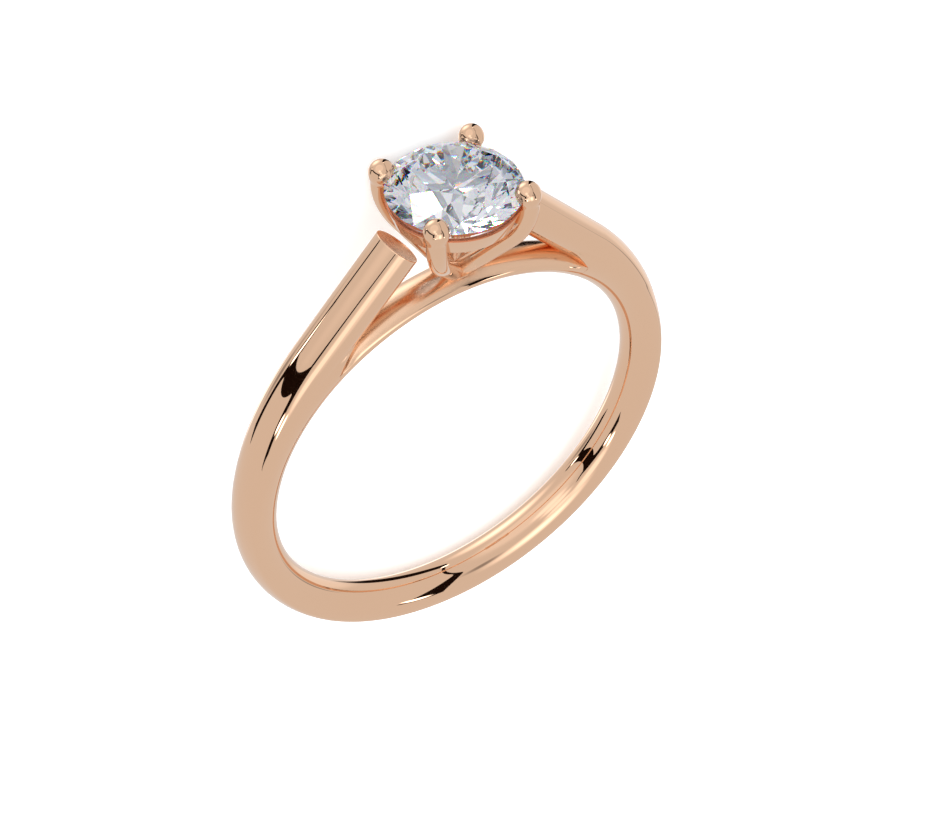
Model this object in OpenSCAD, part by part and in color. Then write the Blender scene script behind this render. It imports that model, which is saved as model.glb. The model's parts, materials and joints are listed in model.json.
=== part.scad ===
// Four-claw solitaire ring with cathedral shoulders.
// One soldered metal body (band, bridge, shoulders, base cup, gallery rail and claws)
// and one round brilliant stone. Millimetres.
//
// Each shape is drawn on a ring that stands upright: X across the band, Y from the finger
// to the stone, Z along the finger. Heights are above the finger's axis. place() then lays
// the ring on its side, resting on the upper edge of the gallery rail and on the band's edge
// opposite the stone. The stone is towards -Y, and the origin lies on the surface below the
// middle of the ring.

/* [Band] */
// Diameter of the finger hole
hole_d = 16.5; // [14:0.1:21]
// Width of the band along the finger
band_w = 1.88; // [1.7:0.02:2.1]
// Thickness of the band from the finger outwards
band_t = 1.65; // [1.5:0.05:1.8]
// Radius of the rounded inner face of the band
comfort_r = 1.1; // [1:0.05:1.4]
// Radius of the domed outer face of the band
dome_r = 1.35; // [1.1:0.05:1.8]

/* [Bridge] */
// Thickness of the bridge that follows the finger under the head
bridge_t = 0.88; // [0.7:0.02:1]
// Width of the bridge along the finger
bridge_w = 1.74; // [1.5:0.02:1.8]
// Radius of the bridge's outer edges
bridge_edge_r = 0.22; // [0.1:0.02:0.3]
// Angle at the finger over which those edges are rounded
bridge_edge_angle = 70; // [60:1:72]
// Angle at the finger between the two tips of the opening under the shoulders
window_angle = 74; // [72:1:80]
// Slope of the opening's upper side where it starts at a tip
window_slope = 62.8; // [58:0.2:70]

/* [Shoulders] */
// Angle above the ring's widest line where a shoulder leaves the band
shoulder_start = 5; // [2:1:10]
// Depth at which a shoulder's outer face starts below the band's
shoulder_sink = 0.05; // [0.04:0.01:0.06]
// Slope of the straight end of a shoulder
shoulder_slope = 46.5; // [44:0.5:49]
// Height of the middle of a shoulder's cut end
shoulder_end_h = 11.43; // [11.2:0.01:11.6]
// Distance of that middle from the stone's axis
shoulder_end_x = 2.37; // [2.3:0.01:2.6]
// Width of a shoulder along the finger
shoulder_w = 1.84; // [1.7:0.02:1.86]
// Thickness of a shoulder
shoulder_t = 1.64; // [1.5:0.02:1.66]

/* [Claws] */
// Distance of a claw's ball from the stone's axis
claw_ball_x = 2.62; // [2.55:0.01:2.75]
// Height of a claw's ball above the girdle
claw_ball_rise = 0.25; // [0.2:0.01:0.35]
// Diameter of a claw's ball
claw_ball_d = 0.94; // [0.86:0.02:1.04]
// Diameter of a claw's wire
claw_wire_d = 0.73; // [0.66:0.01:0.8]
// Radius of the bend in a claw
claw_bend_r = 2.24; // [2:0.02:2.4]
// Angle past upright by which a claw leans in at its ball
claw_lean = 14; // [8:1:16]
// Slope of the straight lower part of a claw
claw_slope = 46; // [42:1:48]

/* [Rail and cup] */
// Height of the gallery rail's upper edge
rail_top_h = 12.72; // [12.6:0.01:12.8]
// Height of the gallery rail's lower edge
rail_low_h = 11.98; // [11.8:0.01:12.1]
// Outer radius of the gallery rail's upper edge
rail_top_r = 2.47; // [2.4:0.01:2.55]
// Outer radius of the gallery rail's lower edge
rail_low_r = 2.23; // [2.1:0.01:2.4]
// Thickness of the gallery rail
rail_t = 0.45; // [0.35:0.05:0.55]
// Height of the rim of the small cup in which the claws meet
cup_rim_h = 9.28; // [9.25:0.01:9.3]
// Radius of the rim of that cup
cup_rim_r = 0.63; // [0.6:0.01:0.66]
// Radius of the cup where it stands on the bridge
cup_foot_r = 0.55; // [0.5:0.01:0.58]

/* [Stone] */
// Diameter of the stone
stone_d = 4.94; // [4.9:0.01:5]
// Height of the middle of the girdle
girdle_h = 13; // [12.95:0.01:13.1]
// Thickness of the girdle
girdle_t = 0.15; // [0.12:0.01:0.18]
// Width of the table from corner to corner, as a share of the diameter
table_share = 0.55; // [0.53:0.01:0.62]
// Slope of the crown's main facets
crown_slope = 35; // [32:0.5:36]
// Slope of the pavilion's main facets
pavilion_slope = 40.75; // [40:0.25:42]
// How far the star facets reach from the table towards the girdle
star_share = 0.48; // [0.45:0.01:0.6]
// How far the lower girdle facets reach from the girdle towards the point
lower_share = 0.77; // [0.7:0.01:0.85]
// Turn of the stone: angle from the band's line to the nearest corner of the table
stone_turn = 24; // [0:1:44]
// Play between the stone and its seat
seat_gap = 0.03; // [0.02:0.01:0.05]

/* [Hidden] */
$fn = 96;
CLAWS = 4;
MAINS = 8;             // main facets around the stone
GIRDLE_STEPS = 4;      // flats of the girdle under each of the 16 upper girdle facets
LAND_DEPTH = 0.04;     // how far the rounded inner face is cut back to a true cylinder
FAR = 8;               // reach of a cutter, past any part that it meets

function dot(a, b) = a[0] * b[0] + a[1] * b[1];
function mirrored(p) = [-p[0], p[1]];

hole_r = hole_d / 2;
band_r = hole_r + band_t / 2;
dome_centre_r = hole_r + band_t - dome_r;
bridge_r = hole_r + bridge_t;

// Shoulder: an arc that rises out of the band along its own line, then a straight end
start_r = band_r - shoulder_sink;
start_out = [cos(shoulder_start), sin(shoulder_start)];
shoulder_out = [sin(shoulder_slope), cos(shoulder_slope)];
shoulder_end = [shoulder_end_x, shoulder_end_h];
bend_r = (dot(shoulder_end, shoulder_out) - start_r * dot(start_out, shoulder_out))
    / (1 - dot(start_out, shoulder_out));
bend_centre = (start_r - bend_r) * start_out;
bend_end = bend_centre + bend_r * shoulder_out;
straight_l = norm(shoulder_end - bend_end);
shoulder_turn = 90 - shoulder_slope - shoulder_start;

// Opening under the shoulders: its right tip, and the upper side that starts there
window_tip = bridge_r * [sin(window_angle / 2), cos(window_angle / 2)];
window_side = window_tip + FAR * [-cos(window_slope), sin(window_slope)];

// Claw: a straight line from the stone's axis, then an arc past upright to the ball
claw_ball = [claw_ball_x, girdle_h + claw_ball_rise];
claw_centre = claw_ball - claw_bend_r * [cos(claw_lean), sin(claw_lean)];
claw_turn = 90 - claw_slope;
claw_bend_end = claw_centre + claw_bend_r * [cos(claw_turn), -sin(claw_turn)];

// Stone: radii and heights of its corners. A main facet's middle line is at every full
// step around the axis, and its side corners are half a step on either side.
step = 360 / MAINS;
half_step = step / 2;
stone_r = stone_d / 2;
table_r = stone_r * table_share;
girdle_top = girdle_h + girdle_t / 2;
girdle_low = girdle_h - girdle_t / 2;
table_h = girdle_top + (stone_r - table_r) * tan(crown_slope);
culet_h = girdle_low - stone_r * tan(pavilion_slope);
table_flat_r = table_r * cos(half_step);
star_r = table_flat_r + star_share * (stone_r - table_flat_r);
star_h = table_h - (star_r * cos(half_step) - table_r) * tan(crown_slope);
lower_r = stone_r * (1 - lower_share);
lower_h = culet_h + lower_r * cos(half_step) * tan(pavilion_slope);

// Resting place. The band touches where its flat side meets the dome, opposite the stone,
// and the head with the upper edge of the rail. The tilt brings both to the same level.
edge_r = dome_centre_r + sqrt(pow(dome_r, 2) - pow(band_w / 2, 2));
tilt = atan((rail_top_r - band_w / 2) / (rail_top_h + edge_r));
rest_h = edge_r * sin(tilt) + band_w / 2 * cos(tilt);
reach_back = dome_centre_r * cos(tilt) + dome_r;
reach_front = max([for (k = [0 : MAINS - 1])
    table_h * cos(tilt) + table_r * sin(stone_turn + k * step) * sin(tilt)]);
middle_y = (reach_front - reach_back) / 2;

// Lays what is drawn on an upright ring on its side, on the surface
module place() {
    translate([0, middle_y, rest_h])
        rotate([-tilt, 0, 0])
            rotate([0, 0, 180])
                children();
}

// Stands what is drawn around Z on the stone's axis
module on_stone_axis() {
    rotate([-90, 0, 0]) children();
}

// Section of the band: X is the distance from the finger's axis, Y is along the finger
module band_section() {
    intersection() {
        translate([hole_r - LAND_DEPTH + comfort_r, 0]) circle(comfort_r);
        translate([dome_centre_r, 0]) circle(dome_r);
        translate([hole_r, -band_w / 2]) square([band_t, band_w]);
    }
}

// What the bridge's narrower section with round edges takes off one side of the band's
module bridge_edge() {
    middle_w = bridge_w / 2 - bridge_edge_r;
    middle_r = bridge_r - bridge_edge_r;
    difference() {
        translate([hole_r - 1, middle_w]) square([bridge_t + 1, 1]);
        translate([middle_r, middle_w]) circle(bridge_edge_r);
        translate([hole_r - 2, 0]) square([middle_r - hole_r + 2, bridge_w / 2]);
    }
}

// Band all round, cut down to the bridge in the opening under the head
module band() {
    difference() {
        rotate_extrude() band_section();
        translate([0, 0, -FAR / 2])
            linear_extrude(FAR)
                difference() {
                    polygon([
                        window_tip, window_side,
                        mirrored(window_side), mirrored(window_tip), [0, 0]
                    ]);
                    circle(bridge_r);
                }
        rotate_extrude(start = 90 - bridge_edge_angle / 2, angle = bridge_edge_angle) {
            bridge_edge();
            mirror([0, 1]) bridge_edge();
        }
    }
}

// Oval section of a shoulder, around the middle of its path
module shoulder_section() {
    side = (shoulder_w - shoulder_t) / 2;
    square([shoulder_t, 2 * side], center = true);
    for (y = [-side, side])
        translate([0, y]) circle(d = shoulder_t);
}

// Right shoulder: the arc out of the band and its straight end, cut off square.
// Drawn from where the two meet, with Y along the shoulder.
module shoulder() {
    translate(concat(bend_end, 0))
        rotate([0, 0, 90 - shoulder_slope]) {
            translate([-bend_r, 0, 0])
                rotate_extrude(start = -shoulder_turn, angle = shoulder_turn)
                    translate([bend_r, 0]) shoulder_section();
            rotate([-90, 0, 0])
                linear_extrude(straight_l) shoulder_section();
        }
}

// One claw in the plane through the stone's axis, towards +X.
// Drawn from where its straight part meets the bend, with Y along the wire.
module claw() {
    translate(concat(claw_bend_end, 0))
        rotate([0, 0, -claw_turn]) {
            translate([-claw_bend_r, 0, 0])
                rotate_extrude(start = 0, angle = claw_turn + claw_lean)
                    translate([claw_bend_r, 0]) circle(d = claw_wire_d);
            rotate([90, 0, 0])
                cylinder(h = claw_bend_end[0] / cos(claw_slope), d = claw_wire_d);
        }
    translate(concat(claw_ball, 0)) sphere(d = claw_ball_d);
}

// Gallery rail between the claws, under the stone
module rail() {
    on_stone_axis()
        rotate_extrude()
            polygon([
                [rail_low_r - rail_t, rail_low_h], [rail_low_r, rail_low_h],
                [rail_top_r, rail_top_h], [rail_top_r - rail_t, rail_top_h]
            ]);
}

// Small cup on the bridge in which the claws meet
module cup() {
    foot_h = hole_r + bridge_t / 2;
    cone_h = bridge_r - bridge_edge_r;
    on_stone_axis() {
        translate([0, 0, cone_h])
            cylinder(h = cup_rim_h - cone_h, r1 = cup_foot_r, r2 = cup_rim_r);
        translate([0, 0, foot_h])
            cylinder(h = cone_h - foot_h, r = cup_foot_r);
    }
}

// Turned shape that just clears the stone's corners, and cuts its seat
module seat() {
    on_stone_axis()
        rotate_extrude()
            polygon([
                [0, culet_h - 2 * seat_gap],
                [lower_r + seat_gap, lower_h - seat_gap],
                [stone_r + seat_gap, girdle_low - seat_gap],
                [stone_r + seat_gap, girdle_top + seat_gap],
                [star_r + seat_gap, star_h + seat_gap],
                [table_r + seat_gap, table_h + seat_gap],
                [0, table_h + seat_gap]
            ]);
}

// Claws, rail and cup, with the stone's seat cut
module head() {
    difference() {
        union() {
            for (k = [0 : CLAWS - 1])
                rotate([0, (k + 0.5) * 360 / CLAWS, 0]) claw();
            rail();
        }
        seat();
    }
    cup();
}

// All the soldered metal
module ring_body() {
    color("#d5b093")
        place()
            difference() {
                union() {
                    band();
                    shoulder();
                    mirror([1, 0, 0]) shoulder();
                    head();
                }
                cylinder(h = FAR, r = hole_r, center = true);
            }
}

// Point at distance r from the stone's axis, at angle a and height h
function around(r, a, h) = [r * cos(a), r * sin(a), h];

// Height, above the point at distance r and angle a, of the plane through three points
function plane_h(p, q, s, r, a) =
    let (n = cross(q - p, s - p))
    let (d = around(r, a, 0) - p)
    p[2] - (n[0] * d[0] + n[1] * d[1]) / n[2];

// Scalloped edge of the girdle, at height h on the main facets' middle lines and halfway
// between them. The facets above or below it meet their neighbours at (inner_r, inner_h).
function girdle_edge(inner_r, inner_h, h) = [
    for (k = [0 : MAINS - 1], side = [0, 1], i = [0 : GIRDLE_STEPS - 1])
        let (a = (k + side / 2 + i / GIRDLE_STEPS / 2) * step)
        let (corner = around(inner_r, (k + 0.5) * step, inner_h))
        let (main = around(stone_r, (k + side) * step, h))
        let (middle = around(stone_r, (k + 0.5) * step, h))
        around(stone_r, a, plane_h(corner, main, middle, stone_r, a))
];

// Round brilliant: table, stars, kites, girdle facets above and below, and main facets
module stone() {
    round = 2 * MAINS * GIRDLE_STEPS;
    points = concat(
        [for (k = [0 : MAINS - 1]) around(table_r, k * step, table_h)],
        [for (k = [0 : MAINS - 1]) around(star_r, (k + 0.5) * step, star_h)],
        [for (k = [0 : MAINS - 1]) around(lower_r, (k + 0.5) * step, lower_h)],
        girdle_edge(star_r, star_h, girdle_top),
        girdle_edge(lower_r, lower_h, girdle_low),
        [[0, 0, culet_h]]
    );
    // Places in that list
    function table(k) = (k + MAINS) % MAINS;
    function star(k) = MAINS + table(k);
    function lower(k) = 2 * MAINS + table(k);
    function edge_top(i) = 3 * MAINS + i % round;
    function edge_low(i) = edge_top(i) + round;
    culet = 3 * MAINS + 2 * round;
    facet = [0 : GIRDLE_STEPS];
    halves = [for (k = [0 : MAINS - 1], side = [0, 1]) [k, (2 * k + side) * GIRDLE_STEPS]];
    mains = [for (k = [0 : MAINS - 1]) [k, 2 * k * GIRDLE_STEPS]];
    color("#e4e6ea")
        place()
            on_stone_axis()
                rotate([0, 0, stone_turn])
                polyhedron(points, concat(
                    [[for (k = [MAINS - 1 : -1 : 0]) table(k)]],
                    [for (m = mains) [table(m[0]), table(m[0] + 1), star(m[0])]],
                    [for (m = mains) [table(m[0]), star(m[0]), edge_top(m[1]), star(m[0] - 1)]],
                    [for (f = halves) concat(star(f[0]),
                        [for (i = facet) edge_top(f[1] + GIRDLE_STEPS - i)])],
                    [for (i = [0 : round - 1])
                        [edge_top(i), edge_top(i + 1), edge_low(i + 1), edge_low(i)]],
                    [for (f = halves) concat(lower(f[0]),
                        [for (i = facet) edge_low(f[1] + i)])],
                    [for (m = mains) [culet, lower(m[0] - 1), edge_low(m[1]), lower(m[0])]]
                ));
}

ring_body();
stone();
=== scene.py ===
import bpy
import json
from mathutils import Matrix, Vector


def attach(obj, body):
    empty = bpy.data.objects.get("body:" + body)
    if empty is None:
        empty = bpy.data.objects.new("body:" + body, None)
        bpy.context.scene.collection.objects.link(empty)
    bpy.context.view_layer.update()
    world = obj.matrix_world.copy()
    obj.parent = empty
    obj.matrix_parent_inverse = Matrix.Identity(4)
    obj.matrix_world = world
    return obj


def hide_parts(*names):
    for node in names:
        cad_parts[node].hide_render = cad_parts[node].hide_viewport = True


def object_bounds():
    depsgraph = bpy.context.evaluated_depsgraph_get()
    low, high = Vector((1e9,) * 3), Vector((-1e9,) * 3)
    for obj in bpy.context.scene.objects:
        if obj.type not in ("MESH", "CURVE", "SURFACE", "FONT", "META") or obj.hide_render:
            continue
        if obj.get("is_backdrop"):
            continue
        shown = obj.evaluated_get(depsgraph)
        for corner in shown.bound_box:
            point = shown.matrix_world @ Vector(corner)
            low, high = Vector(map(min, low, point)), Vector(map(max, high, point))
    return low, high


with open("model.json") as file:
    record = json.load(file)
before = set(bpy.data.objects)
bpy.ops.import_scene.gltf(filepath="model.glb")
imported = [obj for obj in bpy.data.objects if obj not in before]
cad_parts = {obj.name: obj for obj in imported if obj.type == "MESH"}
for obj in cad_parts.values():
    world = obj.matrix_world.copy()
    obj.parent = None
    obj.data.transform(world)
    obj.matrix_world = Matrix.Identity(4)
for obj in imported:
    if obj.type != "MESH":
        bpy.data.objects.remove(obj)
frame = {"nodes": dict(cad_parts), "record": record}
cad_box = [list(corner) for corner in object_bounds()]

import json
import math
import bmesh
import bpy
import numpy as np
from mathutils import Matrix, Vector

# Band and shoulders: one thread of 18 carat rose gold, domed outside and rounded inside. Two
# oval bars are soldered on at its sides. They rise out of it without a step, run straight up
# towards the head and are sawn off square just short of it.
MM = 0.001
finger_hole = frame["record"]["mounts"][0]
finger_axis = Vector(finger_hole["axis"]).normalized()
across = Vector((-1, 0, 0))
towards_stone = finger_axis.cross(across)
upright_axes = Matrix((across, towards_stone, finger_axis)).transposed()

# Sizes are in millimetres on an upright ring: across the band's plane, from the finger to the
# stone, and along the finger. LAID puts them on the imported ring, as it lies.
LAID = (Matrix.Translation(finger_hole["pos_m"]) @ upright_axes.to_4x4()
        @ Matrix.Diagonal((MM, MM, MM, 1)))

HOLE_R = 8.25
BAND_T = 1.65
BAND_HALF_W = 0.94
BAND_WIDEST_H = 1.037
BAND_WIDEST_R = HOLE_R + BAND_WIDEST_H
BAND_DOME_R = 1.35
BAND_DOME_CENTRE = HOLE_R + BAND_T - BAND_DOME_R
BAND_EDGE_SOFT = 0.08
BAND_STEP = 1.25

# Where a shoulder starts, in degrees up from the ring's side
SHOULDER_START = 5
SHOULDER_SLOPE = math.radians(46.5)
SHOULDER_END = np.array((2.37, 11.43))
SHOULDER_HALF_W = 0.92
SHOULDER_HALF_T = 0.83
SHOULDER_STEP = 0.75
END_ROUND = 0.03
END_ARC = (30, 60, 90)
FREE_STEP = 0.1
FILLET = 0.06
FILLET_LEAST = 0.001
FILLET_GROWS_OVER = 3

# The opening between a shoulder and the bridge: where it begins, in degrees up from the ring's
# side, and the slope of its cut
TIP = 53
TIP_ANGLE = math.radians(TIP)
NEAR_TIP = 40
NEAR_TIP_STEP = 0.25
CUT_SLOPE = math.radians(62.8)
BRIDGE_R = HOLE_R + 0.88
WEB_STEEPNESS = 1.5
WEDGE_L = 1.5
WEDGE_STEP = 0.03
WEDGE_FIRST = 0.02
WEDGE_FILLET = 0.2
WEDGE_FILLET_GROWS_OVER = 0.5
UNDER_SAG = 0.35
UNDER_RISE = 0.32
CUT_SOFT_AT_TIP = 0.06
CUT_SOFT_GROWTH = 0.08
CUT_SOFT_GROWS_OVER = 0.6

AROUND = 160
FAR = 9
TINY = 1e-6
SHARP_FROM = math.radians(40)
turn = np.linspace(0, 2 * math.pi, AROUND, endpoint=False)


def smooth_least(a, b, soft):
    near = np.maximum(soft - np.abs(a - b), 0)
    return np.minimum(a, b) - near * near / (4 * soft)


def smooth_most(a, b, soft):
    return -smooth_least(-a, -b, soft)


def eased(share):
    """Rises from 0 to 1 with a soft start and end, and holds outside that."""
    share = min(1, max(0, share))
    return share * share * (3 - 2 * share)


def unit(angle):
    return np.array((math.cos(angle), math.sin(angle)))


def band_reach(centre_r):
    """Distance from a point inside the band to its surface, in each direction of one section."""
    to_dome = centre_r - BAND_DOME_CENTRE
    root = BAND_DOME_R ** 2 - (to_dome * np.sin(turn)) ** 2
    nearest = -to_dome * np.cos(turn)
    webbed = np.maximum(nearest - WEB_STEEPNESS * np.sqrt(np.maximum(-root, 0)), 0)
    dome = np.where(root > 0, nearest + np.sqrt(np.maximum(root, 0)), webbed)
    a = (np.cos(turn) / BAND_WIDEST_H) ** 2 + (np.sin(turn) / BAND_HALF_W) ** 2
    b = (centre_r - BAND_WIDEST_R) * np.cos(turn) / BAND_WIDEST_H ** 2
    c = ((centre_r - BAND_WIDEST_R) / BAND_WIDEST_H) ** 2 - 1
    rounded = (-b + np.sqrt(b * b - a * c)) / a
    return smooth_least(dome, rounded, BAND_EDGE_SOFT)


def oval_reach(out, inwards, half_w):
    depth = np.where(np.cos(turn) > 0, out, inwards)
    return 1 / np.sqrt((np.cos(turn) / depth) ** 2 + (np.sin(turn) / half_w) ** 2)


# Middle line of a shoulder: an arc out of the band's own line, then the straight end
start_r = HOLE_R + BAND_T / 2
start_out = unit(math.radians(SHOULDER_START))
straight_out = unit(math.pi / 2 - SHOULDER_SLOPE)
bend_r = ((SHOULDER_END @ straight_out - start_r * (start_out @ straight_out))
          / (1 - start_out @ straight_out))
bend_centre = (start_r - bend_r) * start_out
bend_end = bend_centre + bend_r * straight_out
bend_l = bend_r * (math.pi / 2 - SHOULDER_SLOPE - math.radians(SHOULDER_START))


def shoulder_middle(angle):
    """Point of the middle line at an angle round the finger, its outward direction, its way there."""
    ray = unit(angle)
    along = ray @ bend_centre
    reach = along + math.sqrt(along ** 2 - bend_centre @ bend_centre + bend_r ** 2)
    point = ray * reach
    out = (point - bend_centre) / bend_r
    way = bend_r * math.acos(min(1, out @ start_out))
    if way <= bend_l:
        return point, out, way
    point = ray * (bend_end @ straight_out) / (ray @ straight_out)
    return point, straight_out, bend_l + np.linalg.norm(point - bend_end)


def bar_reach(way, lean):
    """Section of a shoulder: the band's own at its start, and an oval further along."""
    to_oval = eased(way / bend_l)
    lift = (BAND_WIDEST_H - BAND_T / 2) * (1 - to_oval)
    out = (BAND_T - BAND_WIDEST_H) * (1 - to_oval) + SHOULDER_HALF_T * to_oval
    inwards = BAND_WIDEST_H * (1 - to_oval) + SHOULDER_HALF_T * to_oval
    half_w = BAND_HALF_W * (1 - to_oval) + SHOULDER_HALF_W * to_oval
    oval = oval_reach(out / math.cos(lean), inwards / math.cos(lean), half_w)
    start = band_reach(BAND_WIDEST_R)
    from_band = eased(2 * way / bend_l)
    return lift, start * (1 - from_band) + oval * from_band


def section(centre, out, reach):
    """Ring of points round a middle, at a distance for each direction."""
    points = np.zeros((AROUND, 3))
    points[:, :2] = centre + np.outer(reach * np.cos(turn), out)
    points[:, 2] = reach * np.sin(turn)
    return points


# From the middle of the band's low side up to where the shoulder starts
half = []
for angle in np.radians(np.arange(-90, SHOULDER_START, BAND_STEP)):
    reach = band_reach(BAND_WIDEST_R)
    half.append(section(unit(angle) * BAND_WIDEST_R, unit(angle), reach))

# Band and shoulder as one, up to the tip of the opening
coarse = np.arange(SHOULDER_START, NEAR_TIP, SHOULDER_STEP)
fine = np.arange(NEAR_TIP, TIP, NEAR_TIP_STEP)
for angle in np.radians([*coarse, *fine, TIP]):
    middle, out, way = shoulder_middle(angle)
    lean = math.acos(min(1, out @ unit(angle)))
    lift, bar = bar_reach(way, lean)
    centre_r = np.linalg.norm(middle) + lift
    fillet = FILLET_LEAST + FILLET * min(1, way / FILLET_GROWS_OVER)
    reach = smooth_most(bar, band_reach(centre_r), fillet)
    half.append(section(unit(angle) * centre_r, unit(angle), reach))

# The free bar beyond the tip. At first a wedge of the band still hangs under it.
tip_middle, _, tip_way = shoulder_middle(TIP_ANGLE)
tip_out = unit(TIP_ANGLE)
tip = BRIDGE_R * tip_out
cut_out = unit(math.pi / 2 - CUT_SLOPE)
onward = np.array((-math.cos(SHOULDER_SLOPE), math.sin(SHOULDER_SLOPE)))
free_l = np.linalg.norm(SHOULDER_END - tip_middle) - END_ROUND
ways = [*np.arange(WEDGE_FIRST, WEDGE_L, WEDGE_STEP), *np.arange(WEDGE_L, free_l, FREE_STEP), free_l]
for way in ways:
    straightened = eased((way - WEDGE_L) / (free_l - WEDGE_L))
    out = unit(TIP_ANGLE * (1 - straightened) + (math.pi / 2 - SHOULDER_SLOPE) * straightened)
    lift, bar = bar_reach(tip_way + way, math.acos(min(1, out @ straight_out)))
    centre = tip_middle + way * onward + lift * out
    if way < WEDGE_L:
        side = centre @ np.array((-tip_out[1], tip_out[0]))
        uncut = band_reach(centre @ tip_out + side ** 2 / 2 / BAND_WIDEST_R)
        fall = -np.cos(turn) * (tip_out @ cut_out)
        drop = (centre - tip) @ cut_out + UNDER_SAG
        root = fall ** 2 + 4 * UNDER_RISE * np.sin(turn) ** 2 * drop
        speed = fall + np.sqrt(np.maximum(root, 0))
        meets = (root >= 0) & (speed * drop > 0)
        to_cut = np.where(meets, 2 * drop / np.where(meets, speed, 1), FAR)
        soft = CUT_SOFT_AT_TIP + CUT_SOFT_GROWTH * min(1, way / CUT_SOFT_GROWS_OVER)
        wedge = smooth_least(uncut, to_cut, soft)
        growth = min(1, way / WEDGE_FILLET_GROWS_OVER)
        bar = smooth_most(bar, wedge, FILLET + (WEDGE_FILLET - FILLET) * growth)
    half.append(section(centre, out, bar))

# Its sawn end, with the edge just broken
for lean in np.radians(END_ARC):
    ahead = END_ROUND * math.sin(lean) * onward
    half.append(section(centre + ahead, out, bar - END_ROUND * (1 - math.cos(lean))))
half.append(section(centre + END_ROUND * onward, out, bar - 2 * END_ROUND))


def mesh_of_rings(name, rings, material, looped=False, cap_material=None):
    """Closed mesh through rings of points: capped at both ends, or joined end to end."""
    rings = np.asarray(rings)
    count, around = rings.shape[:2]
    at = np.arange(count * around).reshape(count, around)
    caps = [] if looped else [at[0].tolist(), at[-1][::-1].tolist()]
    if looped:
        at = np.vstack([at, at[:1]])
    beside = np.roll(at, -1, axis=1)
    quads = np.stack([at[:-1], at[1:], beside[1:], beside[:-1]], axis=-1).reshape(-1, 4)
    mesh = bpy.data.meshes.new(name)
    mesh.from_pydata(rings.reshape(-1, 3).tolist(), [], quads.tolist() + caps)
    mesh.transform(LAID)
    mesh.shade_smooth()
    mesh.set_sharp_from_angle(angle=SHARP_FROM)
    mesh.materials.append(material)
    if cap_material:
        mesh.materials.append(cap_material)
        for face in mesh.polygons[-2:]:
            face.material_index = 1
    piece = bpy.data.objects.new(name, mesh)
    bpy.context.scene.collection.objects.link(piece)
    return piece


def linear(hex_code):
    parts = [int(hex_code[i:i + 2], 16) / 255 for i in (1, 3, 5)]
    return [c / 12.92 if c < 0.04045 else ((c + 0.055) / 1.055) ** 2.4 for c in parts] + [1]


def add(tree, kind, links=(), **settings):
    """Adds a node to a tree, with its settings and with values or links for its sockets."""
    node = tree.nodes.new(kind)
    for name, value in settings.items():
        setattr(node, name, value)
    for socket, value in dict(links).items():
        if isinstance(value, bpy.types.NodeSocket):
            tree.links.new(value, node.inputs[socket])
        else:
            node.inputs[socket].default_value = value
    return node


def rose_gold(name, smoothest, roughest, patch, mark, depth, colour="#f1c8a8"):
    """Rose gold whose roughness wanders over patches, with fine marks. Sizes are in millimetres."""
    made = bpy.data.materials.new(name)
    made.use_nodes = True
    tree = made.node_tree
    shader = tree.nodes["Principled BSDF"]
    shader.inputs["Base Color"].default_value = linear(colour)
    shader.inputs["Metallic"].default_value = 1
    place = add(tree, "ShaderNodeTexCoord").outputs["Object"]
    per_mark = [1 / (MM * size) for size in mark]
    drawn = add(tree, "ShaderNodeMapping", {"Vector": place, "Scale": per_mark}).outputs[0]
    marks = add(tree, "ShaderNodeTexNoise", {"Vector": drawn, "Scale": 1, "Detail": 2})
    patches = add(tree, "ShaderNodeTexNoise", {"Vector": place, "Scale": 1 / (MM * patch), "Detail": 1})
    finish = add(tree, "ShaderNodeMapRange", {
        "Value": patches.outputs["Fac"], "From Min": 0.35, "From Max": 0.65,
        "To Min": smoothest, "To Max": roughest
    })
    tree.links.new(finish.outputs[0], shader.inputs["Roughness"])
    height = marks.outputs["Fac"]
    bump = add(tree, "ShaderNodeBump", {"Height": height, "Distance": MM * depth, "Strength": 1})
    tree.links.new(bump.outputs[0], shader.inputs["Normal"])
    return made


# 18 carat rose gold, buffed to a mirror: clean dark and bright lines that only just waver
polished_rose_gold = rose_gold(
    "polished_rose_gold", smoothest=0.012, roughest=0.035, patch=1.5, mark=(0.5, 0.5, 0.5), depth=0.0001)
# The same gold, as the saw left it: a dull pink face with fine lines across
sawn_rose_gold = rose_gold(
    "sawn_rose_gold", smoothest=0.2, roughest=0.3, patch=0.6, mark=(0.03, 0.6, 0.3), depth=0.0008)

mirrored = [ring * (-1, 1, 1) for ring in half[:0:-1]]
band = mesh_of_rings(
    "band_and_shoulders", mirrored + half, polished_rose_gold, cap_material=sawn_rose_gold)
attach(band, "root")
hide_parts("ring_body")

# Bridge: the thinner stretch of the band that follows the finger under the head. It is rose
# gold, filed to a slight dome on top and brushed, with its two edges rounded over and polished.
BRIDGE_HALF_W = 0.89
BRIDGE_TOP_R = 1.05
BRIDGE_TOP_R_AT_TIP = 4.5
BRIDGE_CROWN = 0.17
BRIDGE_SUNK = 0.004
BRIDGE_SUNK_OVER = 1.5
BRIDGE_MIDDLE_R = 8.75
BRIDGE_SIDE_SOFT = 0.05
BRIDGE_RINGS = 125
BRIDGE_OVERLAP = 0.2
DOMES_OVER = 8
EDGE_OPENS_OVER = 6
EDGE_LEAST = 0.005
EDGE_NEAR_TIP = 0.32
EDGE_AT_MIDDLE = 0.16
EDGE_NARROWS_OVER = 30
SATIN_TOP = math.radians(72)

# Rose gold brushed across with fine paper: soft, blurred tones in place of sharp lines
satin_rose_gold = rose_gold(
    "satin_rose_gold", smoothest=0.18, roughest=0.26, patch=0.6, mark=(0.06, 0.6, 0.3), depth=0.0003)

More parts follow.
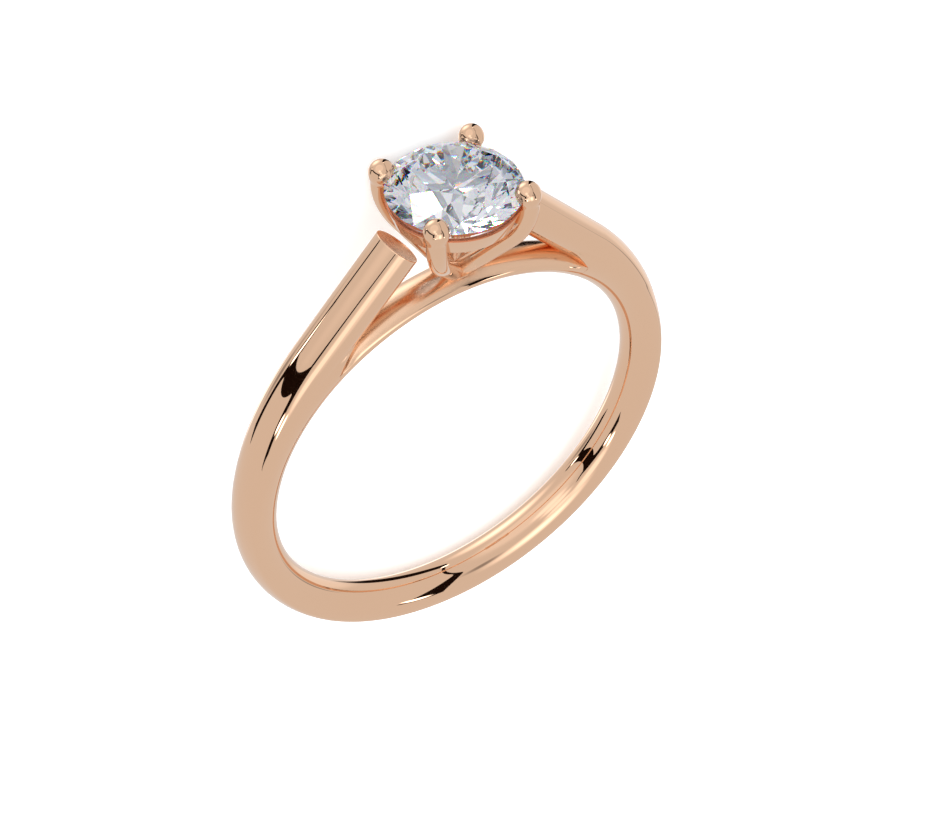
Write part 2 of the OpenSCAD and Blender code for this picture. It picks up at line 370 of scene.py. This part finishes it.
to_side = BRIDGE_HALF_W / np.maximum(np.abs(np.sin(turn)), TINY)
to_band = band_reach(BRIDGE_MIDDLE_R)
side = smooth_least(to_side, to_band, BRIDGE_SIDE_SOFT)
rings = []
for angle in np.linspace(TIP - BRIDGE_OVERLAP, 180 - TIP + BRIDGE_OVERLAP, BRIDGE_RINGS):
    from_tip = min(angle - TIP, 180 - TIP - angle)
    to_middle = min(1, max(0, from_tip / EDGE_NARROWS_OVER))
    edge = EDGE_NEAR_TIP + (EDGE_AT_MIDDLE - EDGE_NEAR_TIP) * to_middle * (2 - to_middle)
    edge = EDGE_LEAST + edge * eased(from_tip / EDGE_OPENS_OVER)
    doming = eased(from_tip / DOMES_OVER)
    top_r = 1 / ((1 - doming) / BRIDGE_TOP_R_AT_TIP + doming / BRIDGE_TOP_R)
    to_centre = BRIDGE_MIDDLE_R - (BRIDGE_R + BRIDGE_CROWN * doming - top_r)
    to_top = np.sqrt(top_r ** 2 - (to_centre * np.sin(turn)) ** 2) - to_centre * np.cos(turn)
    to_top = np.where(np.cos(turn) > 0, to_top, FAR)
    sunk = BRIDGE_SUNK * max(0, 1 - from_tip / BRIDGE_SUNK_OVER)
    out = unit(math.radians(angle))
    rings.append(section(out * BRIDGE_MIDDLE_R, out, smooth_least(to_top, side, edge) - sunk))
bridge = mesh_of_rings("bridge", rings, satin_rose_gold)
bridge.data.materials.append(polished_rose_gold)
for number, face in enumerate(bridge.data.polygons):
    face.material_index = int(math.cos(turn[number % AROUND]) < math.cos(SATIN_TOP))
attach(bridge, "root")

# Base cup: a small cup of rose gold, turned with a rounded rim and soldered on the middle of
# the bridge. The four claws meet in it. It has the bridge's brushed finish.

# Radius and height of the places on its outline
CUP_OUTLINE = [
    (0.55, 8.80), (0.55, 9.02), (0.615, 9.22), (0.63, 9.25), (0.625, 9.27), (0.6, 9.28), (0.1, 9.28)
]


def turned_rings(outline):
    """Rings of points of a piece turned round the stone's axis."""
    rings = []
    for radius, height in outline:
        level = np.full(AROUND, height)
        rings.append(np.stack([radius * np.cos(turn), level, radius * np.sin(turn)], axis=1))
    return rings


cup = mesh_of_rings("base_cup", turned_rings(CUP_OUTLINE), satin_rose_gold)
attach(cup, "root")

# Claws: four round wires of rose gold that start together in the cup, lean out, bend upright
# round the stone and end in melted balls. Each is notched for the stone's edge with a bur and
# pressed over it. They are polished, apart from the corner where they cross.
WIRE_R = 0.365
WIRE_SIDES = 48
GIRDLE_H = 13
BALL = np.array((2.62, GIRDLE_H + 0.25))
BALL_R = 0.47
BALL_STEP = 6
NECK_SOFT = 0.25
CLAW_BEND_R = 2.24
CLAW_LEAN = math.radians(14)
CLAW_SLOPE = math.radians(46)
CLAW_STEP = 0.1
MERGED_UNDER = 0.001
SEAT_PLAY = 1.015
CROSSING_H = 9.02
CROSSING_R = 1.3
NOTCH_SHARP_FROM = math.radians(30)


def curve_object(name, points):
    data = bpy.data.curves.new(name, "CURVE")
    data.dimensions = "3D"
    spline = data.splines.new("POLY")
    spline.points.add(len(points) - 1)
    for place, point in zip(spline.points, points):
        place.co = (*point, 0, 1)
    made = bpy.data.objects.new(name, data)
    bpy.context.scene.collection.objects.link(made)
    return made


def plain_mesh(source, tree, name, values):
    """Runs a geometry tree on an object and keeps its result as a plain mesh piece."""
    modifier = source.modifiers.new("tree", "NODES")
    modifier.node_group = tree
    for item in tree.interface.items_tree:
        if item.in_out == "INPUT" and item.name in values:
            modifier[item.identifier] = values[item.name]
    ready = source.evaluated_get(bpy.context.evaluated_depsgraph_get())
    mesh = bpy.data.meshes.new_from_object(ready)
    bpy.data.objects.remove(source)
    mesh.name = name
    mesh.transform(LAID)
    piece = bpy.data.objects.new(name, mesh)
    bpy.context.scene.collection.objects.link(piece)
    return piece


# Middle line of one claw: straight, then an arc, then on to the end of the ball
bend_from = CLAW_SLOPE - math.pi / 2
claw_centre = BALL - CLAW_BEND_R * unit(CLAW_LEAN)
claw_bend_start = claw_centre + CLAW_BEND_R * unit(bend_from)
claw_straight = claw_bend_start[0] / math.cos(CLAW_SLOPE)
ball_way = claw_straight + CLAW_BEND_R * (CLAW_LEAN - bend_from)
wire_steps = np.arange(0, ball_way - BALL_R - CLAW_STEP, CLAW_STEP)
ball_steps = ball_way + BALL_R * np.sin(np.radians(np.arange(-90, 90 + BALL_STEP, BALL_STEP)))
path = []
for way in [*wire_steps, ball_way - BALL_R - CLAW_STEP / 2, *ball_steps]:
    if way < claw_straight:
        path.append(claw_bend_start + (way - claw_straight) * unit(CLAW_SLOPE))
    elif way < ball_way:
        path.append(claw_centre + CLAW_BEND_R * unit(bend_from + (way - claw_straight) / CLAW_BEND_R))
    else:
        path.append(BALL + (way - ball_way) * unit(CLAW_LEAN + math.pi / 2))

tree = bpy.data.node_groups.new("claws_tree", "GeometryNodeTree")
tree.interface.new_socket("Path", in_out="INPUT", socket_type="NodeSocketGeometry")
for name in ("Wire radius", "Neck blend", "Ball radius", "Ball at"):
    tree.interface.new_socket(name, in_out="INPUT", socket_type="NodeSocketFloat")
for name in ("Wire sides", "Claws"):
    tree.interface.new_socket(name, in_out="INPUT", socket_type="NodeSocketInt")
tree.interface.new_socket("Metal", in_out="INPUT", socket_type="NodeSocketMaterial")
tree.interface.new_socket("Piece", in_out="OUTPUT", socket_type="NodeSocketGeometry")
given = add(tree, "NodeGroupInput").outputs
result = add(tree, "NodeGroupOutput")

# Radius along the wire: the wire's own, swelling into the ball, then the ball's alone
along = add(tree, "GeometryNodeSplineParameter").outputs["Length"]
past = add(tree, "ShaderNodeMath", {0: along, 1: given["Ball at"]}, operation="SUBTRACT").outputs[0]
past_2 = add(tree, "ShaderNodeMath", {0: past, 1: past}, operation="MULTIPLY").outputs[0]
ball_r = given["Ball radius"]
ball_2 = add(tree, "ShaderNodeMath", {0: ball_r, 1: ball_r}, operation="MULTIPLY").outputs[0]
left = add(tree, "ShaderNodeMath", {0: ball_2, 1: past_2}, operation="SUBTRACT").outputs[0]
left = add(tree, "ShaderNodeMath", {0: left, 1: 0}, operation="MAXIMUM").outputs[0]
ball = add(tree, "ShaderNodeMath", {0: left}, operation="SQRT").outputs[0]
neck = add(tree, "ShaderNodeMath", {
    0: ball, 1: given["Wire radius"], 2: given["Neck blend"]
}, operation="SMOOTH_MAX").outputs[0]
is_past = add(tree, "ShaderNodeMath", {0: past, 1: 0}, operation="GREATER_THAN").outputs[0]
radius = add(tree, "GeometryNodeSwitch", {
    "Switch": is_past, "False": neck, "True": ball
}, input_type="FLOAT").outputs[0]

# One wire, swept, then four of them turned round the stone's axis
circle = add(tree, "GeometryNodeCurvePrimitiveCircle", {"Resolution": given["Wire sides"], "Radius": 1})
wire = add(tree, "GeometryNodeCurveToMesh", {
    "Curve": given["Path"], "Profile Curve": circle.outputs[0], "Scale": radius, "Fill Caps": True
})
merged = add(tree, "GeometryNodeMergeByDistance", {"Geometry": wire.outputs[0], "Distance": MERGED_UNDER})
smooth = add(tree, "GeometryNodeSetShadeSmooth", {"Geometry": merged.outputs[0]})
spots = add(tree, "GeometryNodePoints", {"Count": given["Claws"]})
index = add(tree, "GeometryNodeInputIndex").outputs[0]
halfway = add(tree, "ShaderNodeMath", {0: index, 1: 0.5}, operation="ADD").outputs[0]
apart = add(tree, "ShaderNodeMath", {0: 2 * math.pi, 1: given["Claws"]}, operation="DIVIDE").outputs[0]
angle = add(tree, "ShaderNodeMath", {0: halfway, 1: apart}, operation="MULTIPLY").outputs[0]
spin = add(tree, "ShaderNodeCombineXYZ", {"Y": angle}).outputs[0]
spun = add(tree, "FunctionNodeEulerToRotation", {"Euler": spin}).outputs[0]
copies = add(tree, "GeometryNodeInstanceOnPoints", {
    "Points": spots.outputs[0], "Instance": smooth.outputs[0], "Rotation": spun
})
real = add(tree, "GeometryNodeRealizeInstances", {"Geometry": copies.outputs[0]})
add_metal = add(tree, "GeometryNodeSetMaterial", {"Geometry": real.outputs[0], "Material": given["Metal"]})
tree.links.new(add_metal.outputs[0], result.inputs[0])
claws = plain_mesh(curve_object("claw_path", path), tree, "claws", {
    "Wire radius": WIRE_R, "Neck blend": NECK_SOFT, "Ball radius": BALL_R, "Ball at": float(ball_way),
    "Wire sides": WIRE_SIDES, "Claws": 4, "Metal": polished_rose_gold
})

# The notches: a slightly larger stone cuts them
stone = frame["nodes"]["stone"]
girdle_middle = Matrix.Translation(LAID @ Vector((0, GIRDLE_H, 0)))
larger = girdle_middle @ Matrix.Scale(SEAT_PLAY, 4) @ girdle_middle.inverted()
bur_mesh = stone.data.copy()
bur_mesh.transform(larger @ stone.matrix_world)
welded = bmesh.new()
welded.from_mesh(bur_mesh)
bmesh.ops.remove_doubles(welded, verts=welded.verts, dist=MM * MERGED_UNDER)
welded.to_mesh(bur_mesh)
welded.free()
bur = bpy.data.objects.new("bur", bur_mesh)
bpy.context.scene.collection.objects.link(bur)
notch = claws.modifiers.new("notch", "BOOLEAN")
notch.operation = "DIFFERENCE"
notch.solver = "EXACT"
notch.object = bur
bpy.context.view_layer.update()
notched = bpy.data.meshes.new_from_object(claws.evaluated_get(bpy.context.evaluated_depsgraph_get()))
claws.modifiers.clear()
claws.data = notched
bpy.data.objects.remove(bur)
claws.data.materials.clear()
claws.data.materials.append(polished_rose_gold)
claws.data.materials.append(sawn_rose_gold)
crossing = LAID @ Vector((0, CROSSING_H, 0))
for face in claws.data.polygons:
    face.material_index = int((face.center - crossing).length < MM * CROSSING_R)
claws.data.shade_smooth()
claws.data.set_sharp_from_angle(angle=NOTCH_SHARP_FROM)
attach(claws, "root")

# Gallery rail: a cone-shaped ring of rose gold, turned and soldered between the claws. It
# carries the stone on a slope cut into its upper inner edge. Outside it is polished.
RAIL_TOP = (2.47, 12.72)
RAIL_LOW = (2.23, 11.98)
RAIL_T = 0.45
SEAT_RIM = (2.5, 12.895)
SEAT_SLOPE = math.radians(41.5)
PER_CORNER = 5

# Gold in the narrow seat, rougher than the polish: a deep brownish ring under the stone, whose darker,
# redder colour is painted shade for the shade between stone and rail
painted_shade_rose_gold = rose_gold(
    "painted_shade_rose_gold", smoothest=0.2, roughest=0.3, patch=0.6, mark=(0.2, 0.2, 0.2), depth=0.0006,
    colour="#d2805c")

seat_top_r = SEAT_RIM[0] - (SEAT_RIM[1] - RAIL_TOP[1]) / math.tan(SEAT_SLOPE)
wall_lean = (RAIL_TOP[0] - RAIL_LOW[0]) / (RAIL_TOP[1] - RAIL_LOW[1])
wall_top_r = RAIL_TOP[0] - RAIL_T
seat_depth = (seat_top_r - wall_top_r) / (1 / math.tan(SEAT_SLOPE) - wall_lean)
seat_low_r = wall_top_r - seat_depth * wall_lean

# Radius and height of the corners of its section, and how far each is rounded
corners = [
    (*RAIL_LOW, 0.05),
    (*RAIL_TOP, 0.1),
    (seat_top_r, RAIL_TOP[1], 0.02),
    (seat_low_r, RAIL_TOP[1] - seat_depth, 0.02),
    (RAIL_LOW[0] - RAIL_T, RAIL_LOW[1], 0.05),
]
outline = []
for k, (radius, height, rounding) in enumerate(corners):
    here = np.array((radius, height))
    before = np.array(corners[k - 1][:2]) - here
    after = np.array(corners[(k + 1) % len(corners)][:2]) - here
    before = before / np.linalg.norm(before)
    after = after / np.linalg.norm(after)
    for share in np.linspace(0, 1, PER_CORNER):
        outline.append(here + rounding * (before * (1 - share) ** 2 + after * share ** 2))
rail = mesh_of_rings("gallery_rail", turned_rings(outline), polished_rose_gold, looped=True)
# The rounded top edge of the rail and its seat take the painted shade
rail.data.materials.append(painted_shade_rose_gold)
seat_from = PER_CORNER + 1
seat_to = 4 * PER_CORNER - 1
for face in rail.data.polygons[seat_from * AROUND:seat_to * AROUND]:
    face.material_index = 1
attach(rail, "root")

# Stone: a round brilliant of diamond, cut and polished, with a frosted edge. It sits on the
# rail's seat and in the notches of the claws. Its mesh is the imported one.
DIAMOND_IOR = 2.417
FIRE = 0.02
GIRDLE_FACES_UNDER = 0.3


def within_diamond(tree):
    """Clear diamond, for rays that the first surface has already bent, and whether a ray is one."""
    clear = add(tree, "ShaderNodeBsdfGlass", {
        "Color": linear("#fdfdfe"), "Roughness": 0, "IOR": DIAMOND_IOR
    })
    depth = add(tree, "ShaderNodeLightPath").outputs["Ray Depth"]
    bent = add(tree, "ShaderNodeMath", {0: depth, 1: 0.5}, operation="GREATER_THAN")
    return clear.outputs[0], bent.outputs[0]


# Diamond, polished: sharp facets in greys and white, with a little colour where light first enters
cut_diamond = bpy.data.materials.new("cut_diamond")
cut_diamond.use_nodes = True
tree = cut_diamond.node_tree
tree.nodes.clear()
split = []
for code, share in (("#ff0000", -1), ("#00ff00", 0), ("#0000ff", 1)):
    split.append(add(tree, "ShaderNodeBsdfGlass", {
        "Color": linear(code), "Roughness": 0, "IOR": DIAMOND_IOR + share * FIRE
    }).outputs[0])
split_2 = add(tree, "ShaderNodeAddShader", {0: split[0], 1: split[1]}).outputs[0]
split_3 = add(tree, "ShaderNodeAddShader", {0: split_2, 1: split[2]}).outputs[0]
clear, within = within_diamond(tree)
both = add(tree, "ShaderNodeMixShader", {0: within, 1: split_3, 2: clear})
add(tree, "ShaderNodeOutputMaterial", {"Surface": both.outputs[0]})

# Diamond, ground but not polished: a thin matt edge. Its brown colour is a painted reflection of the gold
# round it
frosted_girdle_painted_reflection = bpy.data.materials.new("frosted_girdle_painted_reflection")
frosted_girdle_painted_reflection.use_nodes = True
tree = frosted_girdle_painted_reflection.node_tree
frosted = tree.nodes["Principled BSDF"]
# Brown base colour: painted reflection of the gold round the edge
frosted.inputs["Base Color"].default_value = linear("#8e4c2e")
frosted.inputs["Roughness"].default_value = 0.5
frosted.inputs["Specular IOR Level"].default_value = 0.2
clear, within = within_diamond(tree)
both = add(tree, "ShaderNodeMixShader", {0: within, 1: frosted.outputs[0], 2: clear})
tree.links.new(both.outputs[0], tree.nodes["Material Output"].inputs["Surface"])

stone.data.materials.clear()
stone.data.materials.append(cut_diamond)
stone.data.materials.append(frosted_girdle_painted_reflection)
for face in stone.data.polygons:
    upwards = (stone.matrix_world.to_3x3() @ face.normal).normalized() @ towards_stone
    face.material_index = int(abs(upwards) < GIRDLE_FACES_UNDER)

# The facets show the studio alone, so rays through the stone pass the metal by
for piece in (band, bridge, cup, claws, rail):
    piece.visible_transmission = False

# Floor: a sheet of white card on which the ring lies, evenly lit from below as well, so that
# only a faint shadow is left. It shows neither in the metal nor in the stone.
FLOOR = 1.0
floor_mesh = bpy.data.meshes.new("floor")
floor_corners = [(-FLOOR, -FLOOR, 0), (FLOOR, -FLOOR, 0), (FLOOR, FLOOR, 0), (-FLOOR, FLOOR, 0)]
floor_mesh.from_pydata(floor_corners, [], [(0, 1, 2, 3)])
floor = bpy.data.objects.new("floor", floor_mesh)
bpy.context.scene.collection.objects.link(floor)

# White card, uncoated: an even white without a shine
white_card = bpy.data.materials.new("white_card")
white_card.use_nodes = True
card_shader = white_card.node_tree.nodes["Principled BSDF"]
card_shader.inputs["Base Color"].default_value = linear("#fafafa")
card_shader.inputs["Roughness"].default_value = 0.6
card_shader.inputs["Specular IOR Level"].default_value = 0.2
card_shader.inputs["Emission Color"].default_value = linear("#ffffff")
card_shader.inputs["Emission Strength"].default_value = 0.25
floor.data.materials.append(white_card)
floor.visible_glossy = False
floor.visible_transmission = False
floor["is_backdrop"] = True

# Studio: a white tent round the ring. The metal mirrors it as an even, slightly darker white.
# For the stone it has soft patches of grey, and one lamp that lights a single facet.
DIFFUSE_LIGHT = 1.7
MIRRORED_LIGHT = 0.76
BOUNCES_IN_STONE = 24
BOUNCES_ON_METAL = 12
# Share of the patches' noise, and the grey that it gives
GREYS = [(0.33, "#33373d"), (0.41, "#888c93"), (0.48, "#c2c5ca"), (0.55, "#eceef2"), (0.64, "#ffffff")]
STONE_LAMP_ROUND = -113
STONE_LAMP_ABOVE = 53
STONE_LAMP_RADIUS = 11
STONE_LAMP_RIM = 3
STONE_LAMP_STRENGTH = 4.5


def towards(round_stone, above):
    """Direction on the upright ring: degrees round the stone's axis, and above the finger's axis."""
    a = math.radians(round_stone)
    e = math.radians(above)
    return Vector((math.sin(a) * math.cos(e), math.sin(e), math.cos(a) * math.cos(e)))


world = bpy.data.worlds.new("studio")
world.use_nodes = True
bpy.context.scene.world = world
tree = world.node_tree
tree.nodes.clear()
rays = add(tree, "ShaderNodeLightPath").outputs
spot = add(tree, "ShaderNodeTexCoord").outputs["Generated"]
patches = add(tree, "ShaderNodeTexNoise", {
    "Vector": spot, "W": 9, "Scale": 1.7, "Detail": 0.5
}, noise_dimensions="4D")
grey = add(tree, "ShaderNodeValToRGB", {0: patches.outputs["Fac"]})
ramp = grey.color_ramp
for at, code in GREYS[1:-1]:
    ramp.elements.new(at)
for element, (at, code) in zip(ramp.elements, GREYS):
    element.position = at
    element.color = linear(code)
grey_tent = add(tree, "ShaderNodeBackground", {"Color": grey.outputs[0], "Strength": 1})
stone_lamp = upright_axes @ towards(STONE_LAMP_ROUND, STONE_LAMP_ABOVE)
nearness = add(tree, "ShaderNodeVectorMath", {0: spot, 1: stone_lamp}, operation="DOT_PRODUCT")
shown = add(tree, "ShaderNodeMapRange", {
    "Value": nearness.outputs["Value"],
    "From Min": math.cos(math.radians(STONE_LAMP_RADIUS + STONE_LAMP_RIM)),
    "From Max": math.cos(math.radians(STONE_LAMP_RADIUS)),
    "To Max": STONE_LAMP_STRENGTH
})
lit = add(tree, "ShaderNodeBackground", {"Color": linear("#ffffff"), "Strength": shown.outputs[0]})
for_stone = add(tree, "ShaderNodeAddShader", {0: grey_tent.outputs[0], 1: lit.outputs[0]})
strength = add(tree, "ShaderNodeMapRange", {
    "Value": rays["Is Glossy Ray"], "To Min": DIFFUSE_LIGHT, "To Max": MIRRORED_LIGHT
})
white_tent = add(tree, "ShaderNodeBackground", {"Color": linear("#ffffff"), "Strength": strength.outputs[0]})
seen = add(tree, "ShaderNodeMixShader", {
    0: rays["Is Singular Ray"], 1: white_tent.outputs[0], 2: for_stone.outputs[0]
})
add(tree, "ShaderNodeOutputWorld", {"Surface": seen.outputs[0]})
bpy.context.scene.view_settings.view_transform = "Standard"
bpy.context.scene.cycles.max_bounces = BOUNCES_IN_STONE
bpy.context.scene.cycles.transmission_bounces = BOUNCES_IN_STONE
bpy.context.scene.cycles.glossy_bounces = BOUNCES_ON_METAL

# Flags: frames and posts of black card round the tent's two light panels. They draw the dark
# lines on the polished gold. Like the lamps, they stand far off, and only mirrors show them.
STUDIO_R = 300
ARCH_STEPS = 9

# Black card, matt: dark lines with a trace of brown in the gold, and no shine of their own
black_card = bpy.data.materials.new("black_card")
black_card.use_nodes = True
card_shader = black_card.node_tree.nodes["Principled BSDF"]
card_shader.inputs["Base Color"].default_value = linear("#120a07")
card_shader.inputs["Roughness"].default_value = 0.9
card_shader.inputs["Specular IOR Level"].default_value = 0


def round_arch(low, high, top, foot, radius):
    """Outline of an arch with two round corners, from the foot of one leg to the foot of the other."""
    turns = np.radians(np.linspace(0, 90, ARCH_STEPS))
    spots = [(low, foot)]
    spots += [(low + radius * (1 - math.cos(a)), top - radius * (1 - math.sin(a))) for a in turns]
    spots += [(high - radius * (1 - math.sin(a)), top - radius * (1 - math.cos(a))) for a in turns]
    return spots + [(high, foot)]


def stage_card(name, corners, faces, material):
    """A card that only mirrors see, with its corners in shares of the studio's radius."""
    mesh = bpy.data.meshes.new(name)
    mesh.from_pydata([tuple(c * STUDIO_R for c in corner) for corner in corners], [], faces)
    mesh.transform(LAID)
    mesh.materials.append(material)
    card = bpy.data.objects.new(name, mesh)
    bpy.context.scene.collection.objects.link(card)
    card.visible_camera = False
    card.visible_diffuse = False
    card.visible_transmission = False
    card.visible_shadow = False
    card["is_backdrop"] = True
    return card


def frame_card(name, side, outer, inner):
    corners = [(side, height, along) for along, height in outer + inner]
    count = len(outer)
    faces = [(k, k + 1, count + k + 1, count + k) for k in range(count - 1)]
    stage_card(name, corners, faces, black_card)


frame_card(
    "flag_left", side=-1,
    outer=round_arch(low=-1.12, high=0.93, top=0.39, foot=-0.4, radius=0.04),
    inner=round_arch(low=-0.78, high=0.62, top=0.2, foot=-0.4, radius=0.12))
frame_card(
    "flag_right", side=1,
    outer=round_arch(low=-1.4, high=2.35, top=1.92, foot=-0.6, radius=0.3),
    inner=round_arch(low=-0.88, high=1.62, top=1.74, foot=-0.6, radius=0.3))

# Place along the finger and height of the corners of each post
LEFT_POST = [(-1.28, 0.24), (-1.06, 0.24), (-1.05, 0.46), (-1.27, 0.46)]
RIGHT_POST = [(0.78, 0.34), (0.88, 0.34), (0.96, 0.41), (1.1, 0.45), (1.1, 0.5), (0.84, 0.45), (0.73, 0.4)]
for name, spots in (("flag_left_post", LEFT_POST), ("flag_right_post", RIGHT_POST)):
    corners = [(-1, height, along) for along, height in spots]
    stage_card(name, corners, [tuple(range(len(spots)))], black_card)

# Lamps: round lamps behind cloth, and a few dim patches, on the walls of the tent. They make
# the bright and soft zones on the gold. The stone doesn't see them.
LAMP_WALL = 0.95


def glow(name, strength, core):
    """A lamp behind a diffuser: full strength up to its core, then fading to nothing at its rim."""
    made = bpy.data.materials.new(name)
    made.use_nodes = True
    tree = made.node_tree
    tree.nodes.clear()
    spot = add(tree, "ShaderNodeUVMap", uv_map="disc").outputs[0]
    length = add(tree, "ShaderNodeVectorMath", {0: spot}, operation="LENGTH").outputs["Value"]
    soft = add(tree, "ShaderNodeMapRange", {
        "Value": length, "From Min": core, "From Max": 1, "To Min": 1, "To Max": 0
    }, interpolation_type="SMOOTHSTEP").outputs[0]
    sharp = add(tree, "ShaderNodeLightPath").outputs["Is Singular Ray"]
    soft = add(tree, "ShaderNodeMath", {0: soft, 1: sharp}, operation="SUBTRACT", use_clamp=True).outputs[0]
    light = add(tree, "ShaderNodeEmission", {"Strength": strength})
    clear_air = add(tree, "ShaderNodeBsdfTransparent")
    shown = add(tree, "ShaderNodeMixShader", {0: soft, 1: clear_air.outputs[0], 2: light.outputs[0]})
    add(tree, "ShaderNodeOutputMaterial", {"Surface": shown.outputs[0]})
    return made


# Cloth lit from behind: bright in the middle and fading at the rim, or dim all over
soft_glow = glow("soft_glow", strength=2, core=0)
bright_glow = glow("bright_glow", strength=4.5, core=0.5)
wide_glow = glow("wide_glow", strength=0.95, core=0.45)
streak_glow = glow("streak_glow", strength=1.35, core=0.35)
dim_glow = glow("dim_glow", strength=0.3, core=0.1)

# Name, degrees round the stone's axis and above the finger's, radius in degrees, how many
# times as tall as wide, and the cloth
LAMPS = [
    ("lamp_front", -3, 2, 20, 1, soft_glow),
    ("lamp_back", -177, 27, 28, 1, soft_glow),
    ("lamp_low_back", 158, -30, 13, 1, soft_glow),
    ("lamp_low_back_2", -175, -30, 10, 1, soft_glow),
    ("lamp_high_left", -78, 64, 43, 1, wide_glow),
    ("lamp_front_left", -50, 42, 15, 1, streak_glow),
    ("lamp_front_left_2", -34, 28, 12, 1, streak_glow),
    ("lamp_front_left_3", -21, 15, 9, 1, streak_glow),
    ("lamp_front_left_4", -27, -1, 15, 1, streak_glow),
    ("lamp_low_right", 112, -22, 24, 1, wide_glow),
    ("shade_low_right", 84, -26, 2.5, 11, dim_glow),
    ("shade_front", 13, 21, 10, 1, dim_glow),
    ("shade_left", -150, -5, 11, 1, dim_glow),
    ("lamp_small_left", -50, -5, 4, 1, bright_glow),
    ("lamp_small_left_2", -38, -11, 4, 1, bright_glow),
    ("lamp_small_right", 29, -11, 4, 1, bright_glow),
    ("lamp_small_back", -134, 12.5, 3.5, 1, bright_glow),
    ("lamp_small_high", 132, 53, 3, 1, bright_glow),
]
DISC = [(-1, -1), (1, -1), (1, 1), (-1, 1)]
for name, round_stone, above, radius, tallness, cloth in LAMPS:
    middle = towards(round_stone, above)
    sideways = middle.cross((0, 1, 0)).normalized()
    upwards = sideways.cross(middle) * tallness
    size = math.tan(math.radians(radius))
    corners = [middle * LAMP_WALL + (sideways * x + upwards * y) * size for x, y in DISC]
    card = stage_card(name, corners, [(0, 1, 2, 3)], cloth)
    layer = card.data.uv_layers.new(name="disc")
    for loop, corner in zip(layer.data, DISC):
        loop.uv = corner

# Camera: a long lens, above the floor and in front of the ring, at the photo's angle to it.
# Its place and its three directions are on the upright ring, in millimetres.
CAMERA_PLACE = Vector((-24.501, 53.192, 40.117))
CAMERA_RIGHT = Vector((0.8484, 0.0006, 0.5294))
CAMERA_UP = Vector((0.3914, 0.6727, -0.6280))
CAMERA_BACK = Vector((-0.3565, 0.7399, 0.5705))
camera = bpy.data.objects.new("camera", bpy.data.cameras.new("camera"))
bpy.context.scene.collection.objects.link(camera)
camera.data.lens = 67.56
camera.data.sensor_width = 36
camera.data.clip_start = 0.001
facing = Matrix((CAMERA_RIGHT, CAMERA_UP, CAMERA_BACK)).transposed().to_4x4()
place, rotation, _ = (LAID @ Matrix.Translation(CAMERA_PLACE) @ facing).decompose()
camera.matrix_world = Matrix.Translation(place) @ rotation.to_matrix().to_4x4()
bpy.context.scene.camera = camera

size = {"cad": cad_box, "visual": [list(corner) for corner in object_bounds()]}
